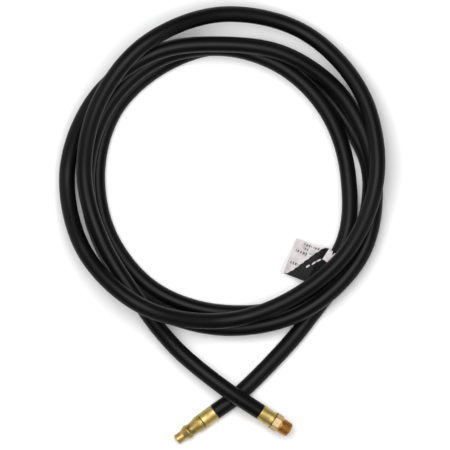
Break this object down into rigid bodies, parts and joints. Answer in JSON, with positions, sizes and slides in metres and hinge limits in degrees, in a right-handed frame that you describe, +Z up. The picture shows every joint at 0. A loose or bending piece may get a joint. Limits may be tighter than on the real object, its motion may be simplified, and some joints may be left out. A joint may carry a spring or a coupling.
{
  "type": "gas hose assembly",
  "caption": "Coiled black rubber gas hose with a crimped brass male pipe-thread fitting at one end and a brass quick-connect plug at the other.",
  "frame": {"origin": "on the ground under the middle of the whole assembly's outline", "axes": "+Z up from the ground that the coil lies on; +Y from the two end fittings towards the far side of the coil; +X to the right of it, on the side of the film tag"},
  "size_m": [0.3547, 0.4786, 0.0731],
  "materials": {
    "cover_rubber": "matt black extruded rubber",
    "braid_yarn": "braided polyester yarn",
    "liner_rubber": "smooth black rubber",
    "ferrule_brass": "bright turned and crimped brass",
    "thread_brass": "machined brass with a cut thread",
    "plug_brass": "turned brass",
    "tag_film": "printed white film"
  },
  "bodies": {
    "root": {"hose_cover": "cover_rubber", "hose_braid": "braid_yarn", "hose_liner": "liner_rubber", "thread_ferrule": "ferrule_brass", "plug_ferrule": "ferrule_brass", "thread_fitting": "thread_brass", "plug_fitting": "plug_brass", "film_tag": "tag_film"}
  },
  "joints": []
}
